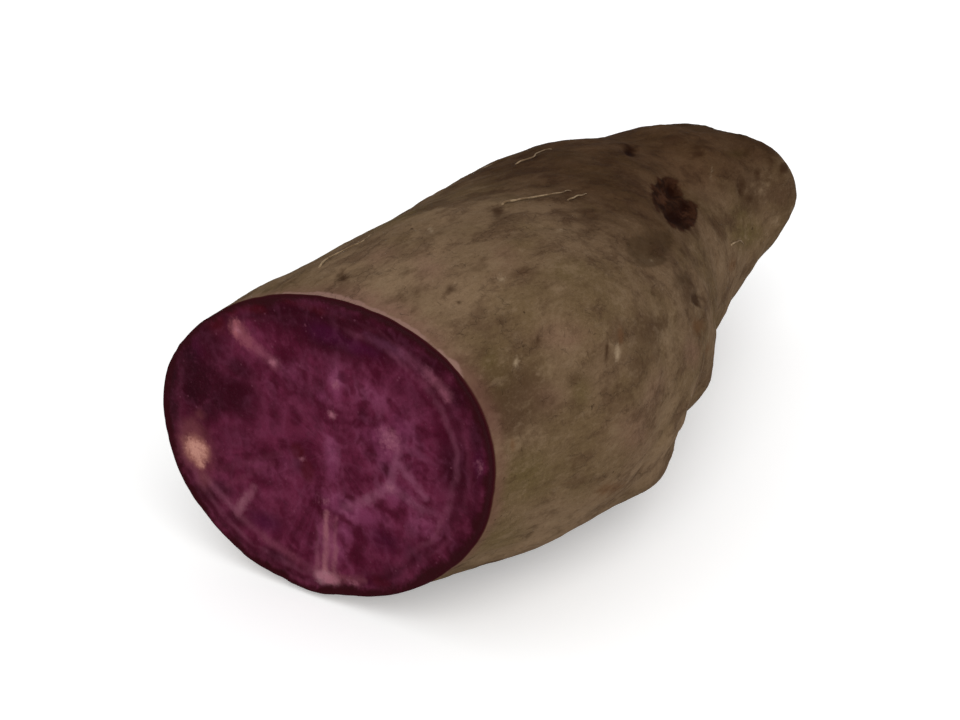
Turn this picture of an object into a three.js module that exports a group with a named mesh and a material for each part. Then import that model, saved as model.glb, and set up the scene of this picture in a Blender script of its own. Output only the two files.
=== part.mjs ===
// Half of a purple-fleshed sweet potato (Ipomoea batatas), cut across with a knife and lying
// on its side on a table. It is one natural piece: skin, cortex and flesh grew together, so it
// is one closed solid. +X runs from the flat cut face to the root end, +Z is up, the tuber
// rests on z = 0, and the origin is under the middle of its bounding box. Millimetres.
import * as THREE from "three";
import { mergeVertices } from "three/addons/utils/BufferGeometryUtils.js";

// Driving dimensions.
const LENGTH = 121; // cut face to root end
const NOSE = 13; // length over which the root end rounds off
const FACE_SQUARENESS = 2.15; // exponent of the cross-section at the cut: 2 is an ellipse
const LEAN = -0.19; // sideways lean of the section at the cut, per millimetre of height
const SETTLED = 0.4; // how deep the underside is flattened where the tuber lies
const RINGS = 60; // cross-sections from the cut to the root end
const SPOKES = 64; // points round each cross-section

// Cross-sections: share of the length, half width, top, underside and sideways sway.
const SECTIONS = [
  { at: 0.0, half: 29.0, top: 49.0, under: 0.0, sway: 0.0 },
  { at: 0.1, half: 29.5, top: 51.0, under: 0.0, sway: -1.5 },
  { at: 0.21, half: 30.0, top: 52.0, under: 0.0, sway: -3.0 },
  { at: 0.33, half: 29.5, top: 50.0, under: 0.0, sway: -1.0 },
  { at: 0.45, half: 28.5, top: 47.5, under: 0.0, sway: 2.5 },
  { at: 0.56, half: 26.0, top: 45.0, under: 0.0, sway: 7.0 },
  { at: 0.66, half: 23.0, top: 42.0, under: 1.0, sway: 10.5 },
  { at: 0.75, half: 19.5, top: 38.5, under: 4.0, sway: 12.0 },
  { at: 0.83, half: 16.0, top: 37.5, under: 6.0, sway: 12.0 },
  { at: 0.9, half: 14.0, top: 35.5, under: 9.5, sway: 11.5 },
  { at: 0.95, half: 14.0, top: 35.0, under: 12.0, sway: 9.5 },
  { at: 1.0, half: 14.5, top: 35.0, under: 13.5, sway: 7.0 },
];

// Knuckles (height > 0) and hollows (height < 0) that stand on the loft: distance from the
// cut, direction round the section in degrees (0 is +Y, 90 is up), height, and the reach of
// the form along the tuber and round it.
const FORMS = [
  { from: 47, around: 218, height: 3.0, along: 8, across: 8.5 }, // knuckle low on one side
  { from: 70.5, around: 203, height: 2.8, along: 6, across: 9.5 }, // second knuckle beyond it
  { from: 56.5, around: 205, height: -2.0, along: 5.5, across: 10 }, // hollow between the two
  { from: 75, around: 199, height: -2.2, along: 7, across: 12 }, // hollow past the second
  { from: 1, around: 225, height: -2.7, along: 11, across: 28 }, // cut edge drawn in low down
  { from: 0, around: 10, height: 2.5, along: 10, across: 15 }, // cut edge full on the other side
];

// Smooth curves through the sections. Both share one parameter, so a value of it gives the
// centre and the size of the same cross-section.
const centres = new THREE.CatmullRomCurve3(
  SECTIONS.map((s) => new THREE.Vector3(s.at * LENGTH, s.sway, (s.top + s.under) / 2)),
  false,
  "catmullrom",
);
const sizes = new THREE.CatmullRomCurve3(
  SECTIONS.map((s) => new THREE.Vector3(s.half, (s.top - s.under) / 2, 0)),
  false,
  "catmullrom",
);

// Signed power, which squares off an ellipse.
function squared(value, exponent) {
  return Math.sign(value) * Math.abs(value) ** exponent;
}

// Height of the knuckles and hollows at a distance from the cut and a direction.
function relief(x, angle, radius) {
  let height = 0;
  for (const form of FORMS) {
    const turn = angle - THREE.MathUtils.degToRad(form.around);
    const arc = Math.atan2(Math.sin(turn), Math.cos(turn)) * radius;
    const reach = ((x - form.from) / form.along) ** 2 + (arc / form.across) ** 2;
    height += form.height * Math.exp(-reach);
  }
  return height;
}

// One point of the skin: t runs 0 to 1 from the cut to the root end.
function skinPoint(t, angle) {
  const centre = centres.getPoint(t);
  const size = sizes.getPoint(t);
  const share = centre.x / LENGTH;
  const past = Math.max(0, (centre.x - (LENGTH - NOSE)) / NOSE);
  const nose = Math.sqrt(Math.max(0, 1 - past * past));
  const blend = THREE.MathUtils.smoothstep(share, 0.3, 0.9);
  const exponent = 2 / THREE.MathUtils.lerp(FACE_SQUARENESS, 2, blend);
  const across = size.x * squared(Math.cos(angle), exponent);
  const up = size.y * squared(Math.sin(angle), exponent);
  const lump = relief(centre.x, angle, Math.hypot(across, up));
  const grow = (1 + lump / Math.hypot(across, up)) * nose;
  const lean = LEAN * (1 - THREE.MathUtils.smoothstep(share, 0.1, 0.75));
  return new THREE.Vector3(
    centre.x,
    centre.y + (across + lean * up) * grow,
    centre.z + up * grow,
  );
}

// The closed surface: a flat fan for the cut face, rings of skin, and a pole at the root end.
function tuberGeometry() {
  const points = [];
  for (let ring = 0; ring < RINGS; ring++) {
    const t = Math.sin((ring / RINGS) * (Math.PI / 2)); // rings crowd towards the root end
    for (let spoke = 0; spoke < SPOKES; spoke++) {
      points.push(skinPoint(t, (spoke / SPOKES) * 2 * Math.PI));
    }
  }
  const faceCentre = points.length;
  points.push(new THREE.Vector3(0, centres.getPoint(0).y, centres.getPoint(0).z));
  const pole = points.length;
  points.push(centres.getPoint(1));

  const faces = [];
  for (let spoke = 0; spoke < SPOKES; spoke++) {
    const next = (spoke + 1) % SPOKES;
    faces.push(faceCentre, next, spoke);
    for (let ring = 0; ring < RINGS - 1; ring++) {
      const here = ring * SPOKES;
      const ahead = here + SPOKES;
      faces.push(here + spoke, here + next, ahead + next);
      faces.push(here + spoke, ahead + next, ahead + spoke);
    }
    const last = (RINGS - 1) * SPOKES;
    faces.push(last + spoke, last + next, pole);
  }

  for (const point of points) point.z = Math.max(point.z, SETTLED) - SETTLED;
  const geometry = new THREE.BufferGeometry().setFromPoints(points);
  geometry.setIndex(faces);
  geometry.computeBoundingBox();
  const middle = geometry.boundingBox.getCenter(new THREE.Vector3());
  geometry.translate(-middle.x, -middle.y, -geometry.boundingBox.min.z);
  geometry.computeVertexNormals();
  return mergeVertices(geometry);
}

const skinMaterial = new THREE.MeshStandardMaterial({
  color: 0x7d6b5c,
  roughness: 0.85,
  metalness: 0,
});

const tuber = new THREE.Mesh(tuberGeometry(), skinMaterial);
tuber.name = "cut_tuber";

const group = new THREE.Group();
group.add(tuber);
export default group;
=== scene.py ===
"""Half of a purple sweet potato, cut across and lying on its side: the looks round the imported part.

Units are millimetres until a mesh is written, which turns them into metres. +X runs from the
cut face to the root end and +Z is up. A place on the skin is its distance from the cut and its
direction round the section, in degrees from +Y over the top. A place on the cut face is its
distance from the middle of the face along +Y and up. Colours are on the screen's scale, 0 to 255.
"""

import math

import bpy
import numpy as np
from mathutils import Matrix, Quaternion, Vector, noise
from mathutils.bvhtree import BVHTree


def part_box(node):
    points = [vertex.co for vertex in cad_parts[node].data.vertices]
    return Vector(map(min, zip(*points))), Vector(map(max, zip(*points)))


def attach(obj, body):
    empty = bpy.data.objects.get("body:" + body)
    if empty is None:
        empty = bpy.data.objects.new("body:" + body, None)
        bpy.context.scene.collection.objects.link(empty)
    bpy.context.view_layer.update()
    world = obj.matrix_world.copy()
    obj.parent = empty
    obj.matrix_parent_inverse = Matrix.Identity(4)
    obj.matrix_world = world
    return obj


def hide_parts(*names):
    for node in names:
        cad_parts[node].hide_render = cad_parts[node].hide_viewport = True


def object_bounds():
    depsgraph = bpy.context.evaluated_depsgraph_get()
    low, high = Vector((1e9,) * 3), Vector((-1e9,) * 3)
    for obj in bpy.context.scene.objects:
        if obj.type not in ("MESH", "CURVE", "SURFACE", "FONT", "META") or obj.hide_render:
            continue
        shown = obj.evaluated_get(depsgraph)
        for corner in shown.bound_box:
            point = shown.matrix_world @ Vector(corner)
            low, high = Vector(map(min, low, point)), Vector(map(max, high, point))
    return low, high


MM = 0.001
NODE = "cut_tuber"

# Mesh density.
SPOKES = 300  # points round a cross-section
SKIN_RINGS = 232  # cross-sections from the cut to the root end
FACE_RINGS = 60  # rings of flesh inside the cut edge
STATIONS = 400  # places where the CAD solid is sampled along its length
FIRST_STATION = 0.0001  # share of the length at the first of them
LAST_STATION = 0.995  # share of a quarter turn whose sine places the last
SMOOTHING = 1.4  # reach that blends the CAD solid's flats into one surface
LIMIT_EASE = 0.4  # depth inside the CAD box over which the relief is eased to stay in it

# Relief of the skin as sums of noise: height, size, seed, stretch, any levels between which it rises.
SKIN_RELIEF = [
    (0.35, 20, 0, (1, 1, 1), None),
    (0.22, 7, 40, (1, 1, 1), None),
    (-0.22, 5, 11, (6, 1, 1), (0.15, 0.6)),  # sunken veins along the tuber
    (0.12, 4, 23, (5, 1, 1), (0.1, 0.6)),  # raised veins between them
    (-0.05, 2.6, 31, (0.8, 1.6, 1.6), (0.1, 0.6)),  # short folds
    (0.05, 1.3, 5, (1.8, 1, 1), None),
]
EDGE_RELIEF = 0.35  # share of it that is left at the cut
EDGE_CALM = 5  # distance from the cut at which it is whole
FORM_GRAIN = 1.6  # size of the noise that makes the forms' edges ragged
FORM_RAGGED = 0.18  # how ragged, in half axes
FORM_RIM = 0.12  # height of the low rim round a form, as a share of its own
FORM_RIM_AT = 1.35  # where that rim stands, in half axes from the middle

# The cut face and its edge.
FACE_MIDDLE = (0.0, 24.5)  # Y and Z of the middle of the face
FIRST_ROW = 0.3  # the first row of skin lies this far behind the face
# In from the outline, behind the face: the rounded cut edge, then a low ridge and a shallow groove.
EDGE_ROWS = [(0.03, 0.14), (0.1, 0.04)]
RIM_ROWS = [(0.2, 0.0), (0.4, 0.02), (0.65, 0.06), (0.9, 0.13), (1.15, 0.17), (1.4, 0.15), (1.7, 0.1)]
FLESH_SUNK = 0.1  # how deep the flesh lies behind the cut near the rim
FLESH_DISH = 0.14  # how much deeper it lies in the middle
DISH_REACH = (2, 20)  # depths from the rim where the dish starts and is full
FIBRE_RELIEF = 0.03
KNIFE_RELIEF = 0.03
SWELL_RELIEF = 0.06  # broad low swells

# Rootlets.
ROOTLET_SIDES = 7
ROOTLET_STEPS = 10  # points along a rootlet for each place in its table
ROOTLET_LIFT = 0.1  # height of its middle line over the skin next to its ends
ROOTLET_ARCH = 0.22  # and how much higher it is halfway
ROOTLET_WANDER = 0.3  # unevenness of that arch
ROOTLET_SUNK = 0.3  # depth of its two ends in the skin
ROOTLET_TAPER = 0.7  # share of its radius that is lost on the way
ROOTLET_UNEVEN = 0.2  # unevenness of its radius
BOX_GAP = 0.02  # how far it stays inside the CAD box

# Camera.
AZIMUTH = -52.8
ELEVATION = 25.5
ROLL = -0.54
DISTANCE = 654
FRAME_SHARE = 0.66  # share of the frame's width that the half fills
SENSOR = 36

# Light.
SKY_LEVEL = 0.64
KEY_LEVEL = 0.5
KEY_AZIMUTH = -46
KEY_ELEVATION = 38
KEY_SOFTNESS = 50
FLOOR_TONE = 0.9
FLOOR_GLOW = 0.3
FLOOR_HALF = 6000
FLOOR_DROP = 0.2  # below the tuber, so that the two never share a plane


# -------- the tuber's forms and marks

# Sunken and raised places on the skin: where, half axes, height (below 0 is sunken), any turn.
SKIN_FORMS = [
    # The outline: flatter and fuller places of the cut edge, a hollow between the knuckles.
    (0, 2, 12, 8, 0.45), (0, 318, 12, 7, -0.5), (0, 277, 8, 4.5, 0.6), (0, 186, 10, 6, 0.3),
    (47.5, 201, 4.5, 3, -0.8, -10), (64, 196, 2.6, 2.6, 0.5), (40, 209, 2.6, 2.2, 0.3),
    (110, 105, 9, 8, -0.6),
    # The large root scar near the root end: a sunken oval with two deeper pits.
    (75.2, 134, 10.6, 3.9, -0.8, 18), (79.4, 129.5, 4.4, 1.5, -0.6, 14), (72.6, 138.5, 5.6, 1.5, -0.7, 4),
    # The shallow round dent before it, with its deeper lower rim.
    (51, 136, 10.5, 3.4, -0.4, 4), (48.5, 139.5, 6.5, 1.4, -0.35, -5), (57, 141, 4.6, 1.2, -0.3, 13),
    # The creases between the knuckles and the dent.
    (58, 160, 5, 1.4, -0.6, -8), (54, 165, 4, 1.4, -0.5, -12), (44, 160, 6, 1.2, -0.3, -15),
    # Small knobs along the lower side.
    (40.5, 192, 2.6, 2.2, 0.5), (47, 186, 2.2, 2, 0.4), (36, 199, 2.2, 1.6, -0.5),
    # A hollow on top and small pits.
    (83.5, 102, 4.7, 1.4, -0.5, 28), (5.8, 86, 2, 1.1, -0.25, 45), (10.7, 118, 1.2, 1.1, -0.25),
    (33.4, 95, 3.2, 1.4, -0.2, 35), (102, 148, 2.4, 1.3, -0.35, 19),
    # The far side and the underside, which are seen only from behind.
    (70, 20, 5.4, 2, -0.8, 20), (67, 17, 3, 1, -0.4, -10), (38, 40, 6, 3.4, -0.4),
    (88, 330, 5, 1.8, -0.6, -15), (24, 350, 2.2, 1.2, -0.3), (52, 300, 4, 1.6, -0.4, 10),
]

# The skin is darker over the top, more so towards the root end: partly browner skin, partly painted shade.
BROWN_SHADE_TOWARDS = 94  # its middle, in degrees round the section
BROWN_SHADE_ROUND = (0.2, 1)  # cosines of the angles off its middle where it starts and is full
BROWN_SHADE_ALONG = (20, 66)  # distances from the cut where it starts and is full

# Colour marks on the skin: where, half axes, strength, any turn.
SKIN_MARKS = {
    # The scar's ragged oval and its darkest parts.
    "scar": [
        (76, 129.4, 9.8, 2.4, 1, 16), (75, 134.5, 8.4, 2.6, 0.9, 15), (74.6, 139.6, 9.4, 2.4, 1, 9),
        (71, 20.5, 5, 1.5, 0.9, 24), (67.6, 18, 4.2, 1.3, 0.9, 2),
    ],
    "core": [
        (79.4, 129, 4.6, 1.5, 0.8, 14), (70.5, 132, 3, 1.1, 0.6, 14), (72.6, 138.5, 7, 1.9, 0.9, 4),
        (79, 138, 3.6, 1.4, 0.8, 15), (83.4, 101, 5.4, 1.4, 0.75, 28), (71.5, 21, 2.6, 0.8, 0.8, 24),
        (66.8, 17.4, 2, 0.6, 0.7),
    ],
    # Paler corky tissue inside the scar.
    "cork": [
        (74.6, 129.6, 4.6, 1.1, 0.9, 16), (77.4, 140.6, 3.2, 0.8, 0.6, 8), (84, 128, 2.4, 0.9, 0.5, 20),
    ],
    # The round dent beside it, and the dull patch below.
    "dent": [
        (51.4, 137, 11, 3.1, 0.7, 8), (47.6, 134.5, 5.4, 1.9, 0.8, 14), (56.6, 139, 6.9, 1.9, 0.8, 10),
        (48.2, 140.2, 6.6, 1.2, 1, -2), (53.9, 151, 7.4, 2, 0.5, -3),
    ],
    # The cut edge of the skin where it shows pale.
    "lip": [
        (0, 92, 1.15, 13, 1), (0, 118, 1.15, 11, 1), (0, 138, 1.15, 6, 0.8), (0, 300, 1.15, 9, 0.8),
    ],
    # Small dark spots.
    "stain": [
        (83.5, 101, 6.6, 1.9, 1, 28), (98.2, 117, 1.9, 0.9, 0.7, 3), (102, 148, 2.5, 1.3, 0.8, 19),
        (108, 147, 2.4, 0.9, 0.55, 35), (112, 146, 3, 0.9, 0.5, 37), (5.8, 86, 2.1, 1.1, 0.8, 45),
        (10.7, 118, 1.3, 1, 0.8), (8.7, 124, 0.7, 0.5, 0.6), (33.4, 95, 3.4, 1.2, 0.75, 35),
        (57.7, 160, 4.8, 1.2, 1, -9), (23.2, 152.5, 2.8, 0.5, 0.8, 56), (13.5, 143, 0.9, 0.5, 0.7, 40),
        (102.7, 156, 1.5, 0.8, 0.5, 14), (115.6, 150, 3.8, 1, 0.8, 5), (100.1, 115, 3.5, 1.1, 0.6, -12),
        (88, 330, 5, 1.6, 1, -15), (24, 350, 2.2, 1.1, 1), (40, 35, 1.8, 1.2, 0.8),
        (95, 60, 2.4, 1.2, 0.8, 10),
    ],
    "rust": [
        (3.6, 166, 1.3, 0.6, 0.9, 90), (27, 151, 2.8, 0.8, 0.9, 47), (60.5, 178, 4, 1.4, 0.6, -20),
        (25, 197, 5.5, 1.7, 0.8, -25), (54.2, 165, 4.6, 1.4, 1, -14), (89, 174, 3.4, 1.4, 0.7, -19),
        (60, 25, 4, 2, 0.5),
    ],
    "olive": [
        (5, 144, 2.8, 1.8, 0.8, 45), (4.6, 150, 4.6, 2.8, 0.8, 54), (98.5, 170, 9.5, 2.6, 0.9, -19),
        (98, 159, 5.6, 2, 0.7, -12), (6.8, 176, 7, 6, 0.8, -44), (6.5, 201, 9, 5, 0.8, -45),
        (31.6, 181, 3.6, 1.5, 0.7, -56), (27, 129, 5, 3, 0.5), (107, 126, 3.8, 1.4, 0.8, -9),
        (16.4, 160, 3.3, 2.6, 0.8, 76), (16, 190, 6, 4, 0.3, -40), (30, 60, 8, 5, 0.8),
        (60, 340, 9, 5, 0.8),
    ],
    "pink": [
        (17.3, 145, 6, 3, 0.6, -22), (10, 157, 4, 2.4, 0.6, -21), (27.9, 180, 11, 4.4, 0.6, -34),
        (20.9, 115, 7, 3.4, 0.5, 35), (109.1, 161, 4.5, 3, 0.3, 3), (49.5, 171, 6, 2.8, 0.7, -25),
        (12.5, 87, 3.8, 2.8, 0.6, 24), (12.5, 105, 5, 3, 0.7, 40), (33, 170, 7, 4, 0.5),
        (80, 40, 8, 4, 0.6), (45, 0, 9, 5, 0.6), (1.5, 112, 3, 15, 0.9),
    ],
    # Flesh that shows through, and juice that has dried, next to the cut.
    "wine": [
        (0.5, 150, 3, 9, 0.75), (0.5, 178, 2.2, 10, 0.6), (0.5, 205, 2, 8, 0.5), (0.5, 320, 2, 9, 0.5),
    ],
    "pale": [
        (22.3, 85.5, 2, 0.8, 0.5, 40), (16.5, 122, 1.4, 0.9, 0.55, 33), (35.5, 116, 1.6, 0.7, 0.45, 10),
        (24.7, 155, 1.6, 0.7, 0.8, 52), (96.9, 131, 4.5, 0.8, 0.25, 34), (8.3, 146, 1, 0.6, 0.7, 45),
        (48.7, 140, 1.1, 0.4, 0.8), (64, 50, 1.6, 0.8, 0.7),
    ],
    # Broad lighter and browner areas. The lighter ones are partly paler skin and partly painted light, on
    # the underside and on the top next to the cut.
    "light": [
        (10, 100, 16, 9, 0.7), (10, 122, 11, 6, 0.6), (18, 212, 22, 10, 1), (42, 198, 18, 7, 0.9),
        (30, 197, 8, 5, 0.9), (52, 187, 9, 4, 1), (40, 181, 6, 4, 0.7), (71, 125, 6, 2, 0.8, 10),
        (91, 127, 9, 6, 1), (20, 86, 4, 2.5, 0.7), (38, 106, 8, 5, 0.7), (30, 78, 10, 6, 0.7),
        (9, 80, 8, 7, 0.7), (60, 178, 8, 5, 0.35), (40, 250, 30, 16, 0.5),
    ],
    # The browner ones are partly painted shade towards the root end.
    "brown": [
        (44, 119, 5.5, 1.3, 0.35, -20), (32, 97, 4.6, 1.7, 0.6, 26), (36, 155, 8, 3.4, 0.85, -6),
        (5, 156, 9, 8, 0.9), (20, 156, 12, 4, 0.4), (106, 156, 9, 4, 0.9), (113, 168, 9, 8, 0.6),
        (56, 165, 14, 3, 0.45), (53, 155, 6, 3, 0.7), (66, 163, 8, 3, 0.6), (116, 60, 12, 12, 0.5),
        (90, 20, 16, 8, 0.4), (30, 320, 12, 6, 0.5),
    ],
}

# Tints of the flesh: where, half axes along Y and up, strength.
FLESH_TINTS = {
    "lilac": [
        (-9.5, 4, 4, 4.2, 0.9), (-12.5, 7, 3.4, 3.4, 0.7), (-11, -3.4, 4, 2.6, 0.7), (-14, 1, 3, 3, 0.4),
        (-3, -8.4, 7, 2.2, 1), (-0.8, 11, 1.6, 3.2, 0.9), (-7, 10.5, 4, 2.5, 0.5),
        (1.6, 8.2, 2, 1.6, 0.6), (-1.8, -12, 2.2, 2.4, 0.7), (0.2, -1, 1.6, 4.5, 0.8),
        (12.5, -6, 3.5, 3, 0.3), (-15.5, -7, 4, 2.5, 0.5), (7.5, 10.5, 3.5, 2.5, 0.4),
        (1, -15.5, 3, 4.6, 0.9), (-5.8, 4, 2, 2, 0.5), (9.6, -4, 2.2, 2, 0.4), (10.2, 7.8, 2.2, 2, 0.35),
    ],
    "shade": [
        (18.2, 3.8, 5.2, 4, 1), (20.6, 1.7, 2.8, 2, 1), (17, 8.2, 3.5, 2.5, 0.8), (25.5, 4, 4.4, 8, 1),
        (23.5, 0, 3.6, 3, 0.8), (22.5, 11.5, 3.6, 3, 0.8), (-4, 21.6, 7, 1.6, 0.9), (-12, 21, 5, 1.7, 1),
        (-18, 18.8, 3.6, 1.8, 1), (-22.5, 15, 2.4, 2.4, 1), (-25.6, 10, 1.6, 3.6, 1),
        (19, -2.5, 5, 3, 0.4), (22, 10, 5.5, 4.5, 0.7), (8, 19.5, 8, 3.2, 1), (2, 20.6, 8, 1.8, 1),
        (0, 18.5, 8, 4.4, 1), (-9, 19, 7, 3.2, 0.7), (-3.6, -2.4, 3.4, 1.9, 0.3),
        (-9, -11.5, 4.6, 2.2, 0.45), (-5.6, 7.3, 1.3, 1.7, 0.6), (-15.5, 6, 1.4, 3.2, 0.4),
        (5, 8, 3, 2.5, 0.3), (-13, 13.4, 3.6, 1.8, 0.4), (-9.5, -0.2, 1.8, 1.8, 0.7),
        (-21.4, 3.8, 3.4, 5.6, 0.85), (-22.5, -9.5, 2.4, 3.6, 0.8), (-25.2, -3, 1.4, 4, 0.6),
        (-19, -13.6, 3.6, 2.2, 0.6), (-25.4, 3, 1.3, 8, 0.5), (-10, -18, 6, 1.8, 0.5),
        (13, -14.5, 5, 1.8, 0.5), (23.5, -13.5, 3, 2, 0.8), (21, -12.2, 2.8, 1.6, 0.8),
        (10.8, -20, 3, 1.4, 0.8), (20, 0.4, 4, 1.8, 0.5), (20, 12.2, 3.5, 2, 0.5),
        (-14.5, 19.4, 2.6, 1.4, 0.7), (6, -2, 2.2, 3, 0.4), (6.4, -4, 1.8, 1.8, 0.6),
        (-2, -8, 1.6, 1.8, 0.6), (-10, 19.8, 5, 1.5, 0.8), (-10, -16, 2.4, 2, 0.6),
        (-14, -12, 2.4, 2.4, 0.6), (-14, -8.2, 2, 1.8, 0.4), (18, -16.2, 3, 1.6, 0.7),
        (-2, 12.2, 1.6, 1.6, 0.5), (-14.4, 13.6, 2, 3.4, 0.4),
    ],
    "blue": [
        (0.6, 18.2, 5, 1.9, 1), (-5.4, 17.6, 4.4, 1.5, 0.9), (24.6, 9, 1.8, 2.6, 0.6),
        (13, -15.2, 3.6, 2, 0.9), (-8.5, -11.5, 5, 2.6, 0.6), (-5.7, -18.6, 2.4, 1.4, 0.7),
        (-26, 5.4, 1.2, 3, 0.9),
    ],
    "red": [
        (20.8, 14.4, 1.9, 1.9, 1), (18.4, 17.4, 1.8, 1.3, 1), (14.2, 18.9, 3.6, 1.3, 1),
        (6.6, -1.8, 1.6, 1.5, 0.9), (4.8, -4.4, 1.5, 1.9, 1), (7, 2, 3, 2.5, 0.3), (4, 21.4, 9, 0.9, 0.6),
        (-8, -18.4, 5, 1.4, 0.5),
    ],
    "bright": [
        (16.8, 14.4, 1, 0.8, 0.6), (10.4, 11, 1.1, 0.8, 0.7), (5.6, -2.9, 0.7, 0.5, 0.6),
        (1.6, -20.8, 2.4, 1.1, 1), (-0.8, 10.8, 0.8, 1.4, 0.5), (0, 5.7, 1, 0.8, 0.7),
        (-10.2, -2.6, 1.2, 0.9, 0.5), (-10.2, 4.8, 2.4, 2.4, 0.5), (1.8, -8.4, 1.8, 1.2, 0.35),
        (-26, 5.4, 0.8, 1.4, 0.45), (-20, 15.3, 1.6, 0.9, 0.2), (-3.4, -20, 1.5, 0.8, 0.5),
    ],
    "salmon": [(25.5, -7.2, 2.8, 2.4, 1), (24.9, -9.2, 1.6, 1.2, 0.7)],
    # The duller flesh round it.
    "tan": [
        (25.8, -4.6, 3.2, 2.6, 1), (25.4, -7.4, 4.4, 4, 1), (24.3, -11.4, 1.8, 2.2, 0.8),
        (24.6, -1.3, 1.8, 1.4, 0.6),
    ],
}

# Dark veins, then pale fibres, that the cut crosses: ends, half widths, colour, strengths.
FLESH_STREAKS = [
    ((25.8, 7.6), (25.8, 1.6), (1.5, 1.3), (34, 3, 12), (0.75, 0.6)),
    ((29.6, 6), (29.4, -2.6), (1.1, 1.1), (30, 4, 9), (0.7, 0.6)),
    ((22.2, 6), (22, 0.6), (1.7, 1.4), (38, 3, 14), (0.6, 0.55)),
    ((17, 14.6), (15.2, 13.2), (1.2, 1.1), (148, 84, 92), (0.95, 0.7)),
    ((15.2, 13.2), (12.9, 12.1), (1.1, 0.9), (120, 60, 76), (0.55, 0.45)),
    ((12.9, 12), (10.4, 11), (0.8, 1), (124, 66, 82), (0.45, 0.6)),
    ((9.6, 10.8), (5.6, 10.7), (0.8, 0.5), (104, 48, 70), (0.3, 0.15)),
    ((1.5, -20.4), (1.2, -11), (1.7, 1), (122, 66, 80), (0.5, 0.2)),
    ((1.9, -20.4), (1.5, -10), (0.5, 0.4), (144, 90, 98), (0.75, 0.55)),
    ((2.8, -20.9), (0.2, -20.6), (0.9, 0.8), (176, 130, 140), (0.7, 0.6)),
    ((0.3, -20), (-0.4, -10.4), (0.45, 0.35), (136, 82, 92), (0.6, 0.2)),
    ((3.4, -19.6), (3.2, -13), (0.45, 0.3), (122, 68, 82), (0.5, 0.15)),
    ((0.5, -20.6), (-5.1, -19), (0.9, 0.6), (116, 62, 72), (0.6, 0.35)),
    ((14.8, -10.1), (16.5, -12.6), (0.6, 0.7), (118, 66, 82), (0.55, 0.75)),
    ((16.5, -12.6), (18.3, -15), (0.7, 0.6), (124, 74, 88), (0.8, 0.7)),
    ((18.3, -15), (24.2, -11.2), (0.7, 0.6), (114, 62, 80), (0.75, 0.6)),
    ((18.3, -15.4), (12.9, -17.8), (0.6, 0.6), (106, 54, 70), (0.45, 0.35)),
    ((12.9, -17.8), (2.9, -20.4), (0.7, 0.8), (114, 58, 74), (0.4, 0.35)),
    ((-1.7, -8.4), (-6, -5.9), (0.7, 0.7), (118, 64, 84), (0.5, 0.5)),
    ((-6, -5.9), (-10.2, -2.6), (0.7, 0.8), (120, 68, 88), (0.6, 0.7)),
    ((-10.2, -2.6), (-11.7, 3.4), (0.7, 0.7), (118, 64, 86), (0.5, 0.5)),
    ((-10.2, -2.6), (-15.7, -4.2), (0.8, 0.7), (120, 66, 88), (0.65, 0.5)),
    ((-15.7, -4.2), (-19.8, -4.2), (0.7, 0.5), (112, 58, 80), (0.5, 0.3)),
    ((-11.7, 1.5), (-16.5, -2.2), (0.8, 0.6), (120, 66, 88), (0.65, 0.5)),
    ((-9.1, 5.1), (-18.5, 3.4), (0.8, 0.5), (110, 56, 80), (0.4, 0.2)),
    ((9.5, -3), (21.5, -9.5), (0.5, 0.5), (100, 46, 64), (0.3, 0.3)),
    ((11, -5), (20, -11.5), (0.4, 0.4), (98, 42, 60), (0.3, 0.3)),
    ((-6.6, 19.7), (-12.7, 19), (0.7, 0.7), (100, 52, 76), (0.3, 0.4)),
    ((-12.7, 19), (-17.4, 17), (0.7, 0.9), (108, 56, 76), (0.35, 0.6)),
    ((-17.4, 17), (-20.6, 14.7), (0.9, 0.9), (126, 70, 86), (0.65, 0.7)),
]

# The cambium ring's share of the radius: its mean, and how much nearer the rim it runs on one side.
RING_MEAN = 0.84
RING_SWING = 0.07
# Sides of the face, in degrees from +Y over the top.
RING_TOWARDS = -10  # where the ring is nearest the rim
RING_RIGHT = 158  # where its pale lines show most
RING_LOW = -45  # and where they show again
LINE_TOWARDS = 190  # where the dark line under the skin is widest

# Fine roots that lie on the skin: places along each, radius at its root.
ROOTLETS = [
    ([(36.5, 92), (40, 95), (44.5, 99), (48.5, 103), (52, 104)], 0.2),
    ([(47, 107), (50, 108.5), (53.5, 109)], 0.14),
    ([(60, 70), (64, 74), (68, 73), (72, 76)], 0.14),
    ([(8, 70), (12, 66), (17, 68), (21, 64)], 0.18),
    ([(90, 165), (94, 168), (96, 173)], 0.16),
    ([(54, 27), (60, 33), (67, 31), (74, 36), (80, 34)], 0.22),
    ([(30, 10), (34, 16), (35, 24), (39, 29)], 0.18),
    ([(104, 40), (108, 46), (109, 56)], 0.16),
    ([(70, 330), (76, 334), (80, 342)], 0.18),
]


# -------- the CAD solid as a grid


def cad_tree():
    """The CAD solid in millimetres, for casting rays."""
    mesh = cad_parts[NODE].data
    corners = [v.co / MM for v in mesh.vertices]
    return BVHTree.FromPolygons(corners, [p.vertices[:] for p in mesh.polygons])


def middle(tree, point, direction):
    """The middle of the solid along a line through a point inside it."""
    return (tree.ray_cast(point, direction)[0] + tree.ray_cast(point, -direction)[0]) / 2


def centreline(tree, low, high):
    """Middles of the cross-sections from the cut to the root end, crowding towards the end."""
    shares = np.sin(np.linspace(0, LAST_STATION, STATIONS) * math.pi / 2)
    point = Vector((low.x, (low.y + high.y) / 2, (low.z + high.z) / 2))
    line = []
    for share in shares:
        point = point.copy()
        point.x = low.x + max(share, FIRST_STATION) * (high.x - low.x)
        for _ in range(3):
            point = middle(tree, point, Vector((0, 1, 0)))
            point = middle(tree, point, Vector((0, 0, 1)))
        line.append(point)
    return line


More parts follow.
